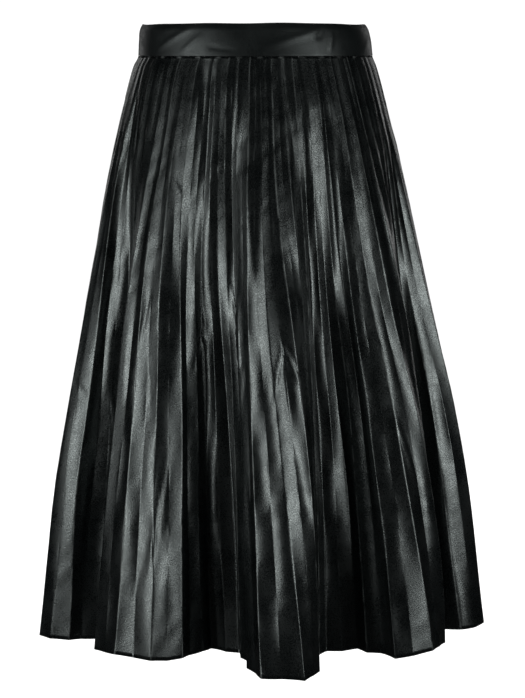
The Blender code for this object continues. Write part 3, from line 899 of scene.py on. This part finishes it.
def leather_material(name, dark, light, roughness, specular):
    """Coated leather: fine pebble grain, uneven gloss, and fold lines painted a little pale for rubbing
    and as painted highlight.
    """
    material, tree, shader = shader_nodes(name)
    place = add(tree, "ShaderNodeTexCoord").outputs["Object"]
    cloud = noise(tree, place, CLOUD_SCALE, 5.0)
    speck = noise(tree, place, SPECK_SCALE, 2.0)
    pebble = add(tree, "ShaderNodeTexVoronoi", {"Vector": place, "Scale": PEBBLE_SCALE})
    # Ridges and top row mixed towards the pale colour: rubbing, and painted highlight, broken up by a
    # noise
    ridge_wear_and_highlight = add(tree, "ShaderNodeAttribute", attribute_name="ridge_wear_and_highlight").outputs["Fac"]
    scuff_and_highlight = ranged(tree, noise(tree, place, SCUFF_AND_HIGHLIGHT_SCALE, 3.0), SCUFF_AND_HIGHLIGHT_RANGE, WHOLE_RANGE)
    wear_and_highlight = reckoned(tree, "MULTIPLY", ridge_wear_and_highlight, scuff_and_highlight)
    tone = blend(tree, cloud, dark, light)
    gloss_range = (roughness - POLISHED_BY, roughness + DULLED_BY)
    gloss = ranged(tree, cloud, NOISE_RANGE, gloss_range)
    fleck = ranged(tree, speck, NOISE_RANGE, (-FLECK, FLECK))
    fine = relief(tree, pebble.outputs["Distance"], GRAIN_STRENGTH, PEBBLE_DEPTH)
    values = {
        "Base Color": blend(tree, wear_and_highlight, tone, WORN_AND_HIGHLIGHT_COLOUR),
        "Roughness": reckoned(tree, "ADD", gloss, fleck),
        "Normal": relief(tree, speck, GRAIN_STRENGTH, SPECK_DEPTH, Normal=fine),
        "Specular IOR Level": specular,
        "Specular Tint": LEATHER_TINT,
    }
    put(tree, shader, values)
    return material


def cloth_material(name, dark, light, scale):
    """A fine knit or woven cloth in one dark tone."""
    material, tree, shader = shader_nodes(name)
    place = add(tree, "ShaderNodeTexCoord").outputs["Object"]
    thread = {"Vector": place, "Scale": scale, "Distortion": 0.6, "Detail": 1.0}
    level = add(tree, "ShaderNodeTexWave", thread, bands_direction="X").outputs["Fac"]
    upright = add(tree, "ShaderNodeTexWave", thread, bands_direction="Z").outputs["Fac"]
    weave = reckoned(tree, "MULTIPLY", level, upright)
    values = {
        "Base Color": blend(tree, weave, dark, light),
        "Roughness": 0.9,
        "Normal": relief(tree, weave, 0.5, 0.0003),
        "Specular IOR Level": 0.2,
        "Sheen Weight": 0.15,
    }
    put(tree, shader, values)
    return material


def hard_material(name, metallic):
    """Black lacquer or nylon, rubbed a little paler and duller in places."""
    material, tree, shader = shader_nodes(name)
    place = add(tree, "ShaderNodeTexCoord").outputs["Object"]
    rub = noise(tree, place, 420.0, 5.0)
    values = {
        "Base Color": blend(tree, rub, (0.014, 0.014, 0.015, 1.0), (0.050, 0.050, 0.054, 1.0)),
        "Roughness": ranged(tree, rub, WHOLE_RANGE, (0.22, 0.42)),
        "Metallic": metallic,
    }
    put(tree, shader, values)
    return material


def pale_material(name, colour):
    """A matt surface of one colour."""
    material, tree, shader = shader_nodes(name)
    put(tree, shader, {"Base Color": colour, "Roughness": 1.0, "Specular IOR Level": 0.0})
    return material


# Studio
CAMERA_DISTANCE = 2.4
CAMERA_SIDE = 0.0087
CAMERA_TILT = 8.572
FOCAL_PIXELS = 2050.0
FRAME_HEIGHT = 698
SENSOR_WIDTH = 36.0
CLIP_START = 0.05
CLIP_END = 60
SKY_STRENGTH = 1.1
SKY_IN_GLOSS = 0.01
FLOOR_HEIGHT = -1.02
FLOOR_REACH = 30
FLOOR_COLOUR = (0.94, 0.94, 0.94, 1.0)

Softbox = namedtuple("Softbox", "name azimuth distance height width tall power aim_height")
SOFTBOXES = tuple(
    Softbox(*row)
    for row in (
        ("left_front_box", -40, 2.0, -0.26, 0.24, 1.0, 8.0, -0.34),
        ("left_box", -54, 2.0, -0.24, 0.28, 1.0, 14.5, -0.32),
        ("left_side_box", -78, 2.0, -0.36, 0.25, 0.8, 1.6, -0.38),
        ("right_front_box", 36, 2.0, -0.26, 0.20, 1.0, 4.5, -0.34),
        ("right_box", 50, 2.0, -0.26, 0.30, 1.0, 14.5, -0.34),
        ("left_back_box", -140, 2.2, 0.00, 0.40, 1.4, 2.5, -0.30),
        ("right_back_box", 142, 2.2, 0.00, 0.40, 1.4, 2.5, -0.30),
        ("back_box", 180, 2.4, 0.10, 0.60, 1.4, 12.0, -0.30),
        ("top_box", 180, 0.4, 2.20, 1.20, 1.2, 16.0, -0.30),
    )
)


def softbox(box):
    """One rectangle of light, aimed at a height on the skirt's own axis."""
    light = bpy.data.lights.new(box.name, "AREA")
    light.shape = "RECTANGLE"
    light.size, light.size_y = box.width, box.tall
    light.energy = box.power
    obj = bpy.data.objects.new(box.name, light)
    turn = math.radians(box.azimuth)
    place = np.array((box.distance * math.sin(turn), -box.distance * math.cos(turn), box.height))
    aim = np.array((0.0, 0.0, box.aim_height)) - place
    tilt = math.pi / 2 + math.atan2(aim[2], math.hypot(aim[0], aim[1]))
    obj.location = place
    obj.rotation_euler = (tilt, 0, math.atan2(aim[1], aim[0]) - math.pi / 2)
    bpy.context.scene.collection.objects.link(obj)


def studio():
    """The camera, the lights, a white surround that hardly shows in reflections, and the floor."""
    scene = bpy.context.scene
    camera = bpy.data.objects.new("camera", bpy.data.cameras.new("camera"))
    scene.collection.objects.link(camera)
    camera.location = (CAMERA_SIDE, -CAMERA_DISTANCE, 0.0)
    camera.rotation_euler = (math.radians(90 - CAMERA_TILT), 0, 0)
    camera.data.sensor_width = SENSOR_WIDTH
    camera.data.lens = FOCAL_PIXELS / FRAME_HEIGHT * SENSOR_WIDTH
    camera.data.clip_start, camera.data.clip_end = CLIP_START, CLIP_END
    scene.camera = camera
    scene.view_settings.view_transform = "Standard"

    for box in SOFTBOXES:
        softbox(box)

    world = bpy.data.worlds.new("studio")
    scene.world = world
    world.use_nodes = True
    tree = world.node_tree
    glossy = add(tree, "ShaderNodeLightPath").outputs["Is Glossy Ray"]
    strength = ranged(tree, glossy, WHOLE_RANGE, (SKY_STRENGTH, SKY_IN_GLOSS))
    put(tree, tree.nodes["Background"], {"Color": (1.0, 1.0, 1.0, 1.0), "Strength": strength})

    corners = ((-1, -1), (1, -1), (1, 1), (-1, 1))
    points = [(x * FLOOR_REACH, y * FLOOR_REACH, FLOOR_HEIGHT) for x, y in corners]
    pale = pale_material("pale_floor", FLOOR_COLOUR)
    floor = mesh_object("floor", points, [(0, 1, 2, 3)], (pale,))
    floor.visible_glossy = False


def main():
    leather = leather_material(
        "black_leather",
        dark=(0.0004, 0.0007, 0.0008, 1.0),
        light=(0.0014, 0.0020, 0.0021, 1.0),
        roughness=0.29,
        specular=0.55,
    )
    band_leather = leather_material(
        "black_leather_band",
        dark=(0.0006, 0.0010, 0.0011, 1.0),
        light=(0.0024, 0.0033, 0.0034, 1.0),
        roughness=0.38,
        specular=0.30,
    )
    backing = cloth_material(
        "leather_backing",
        dark=(0.010, 0.010, 0.011, 1.0),
        light=(0.024, 0.024, 0.026, 1.0),
        scale=900.0,
    )
    weave = cloth_material(
        "zip_tape_weave",
        dark=(0.006, 0.006, 0.007, 1.0),
        light=(0.020, 0.020, 0.022, 1.0),
        scale=1400.0,
    )
    skins = skirt_skins()
    for node in PANELS:
        piece = skirt_piece(node, skins, leather, backing)
        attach(piece, "skirt")
        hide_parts(node)
    band = waistband(band_leather, backing)
    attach(band, "skirt")
    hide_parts("waistband")
    line = zip_line(skins[1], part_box("zip_tape_left")[0][2])
    coil = zip_coil(line, hard_material("black_nylon", 0.0))
    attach(coil, "skirt")
    for node, side in (("zip_tape_left", -1), ("zip_tape_right", 1)):
        tape = zip_tape(node + "_woven", side, line, weave)
        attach(tape, "skirt")
        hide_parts(node)
    lacquer = hard_material("black_lacquer", 0.6)
    for node in ("zip_slider", "zip_pull"):
        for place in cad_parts[node].material_slots:
            place.material = lacquer
    studio()


main()
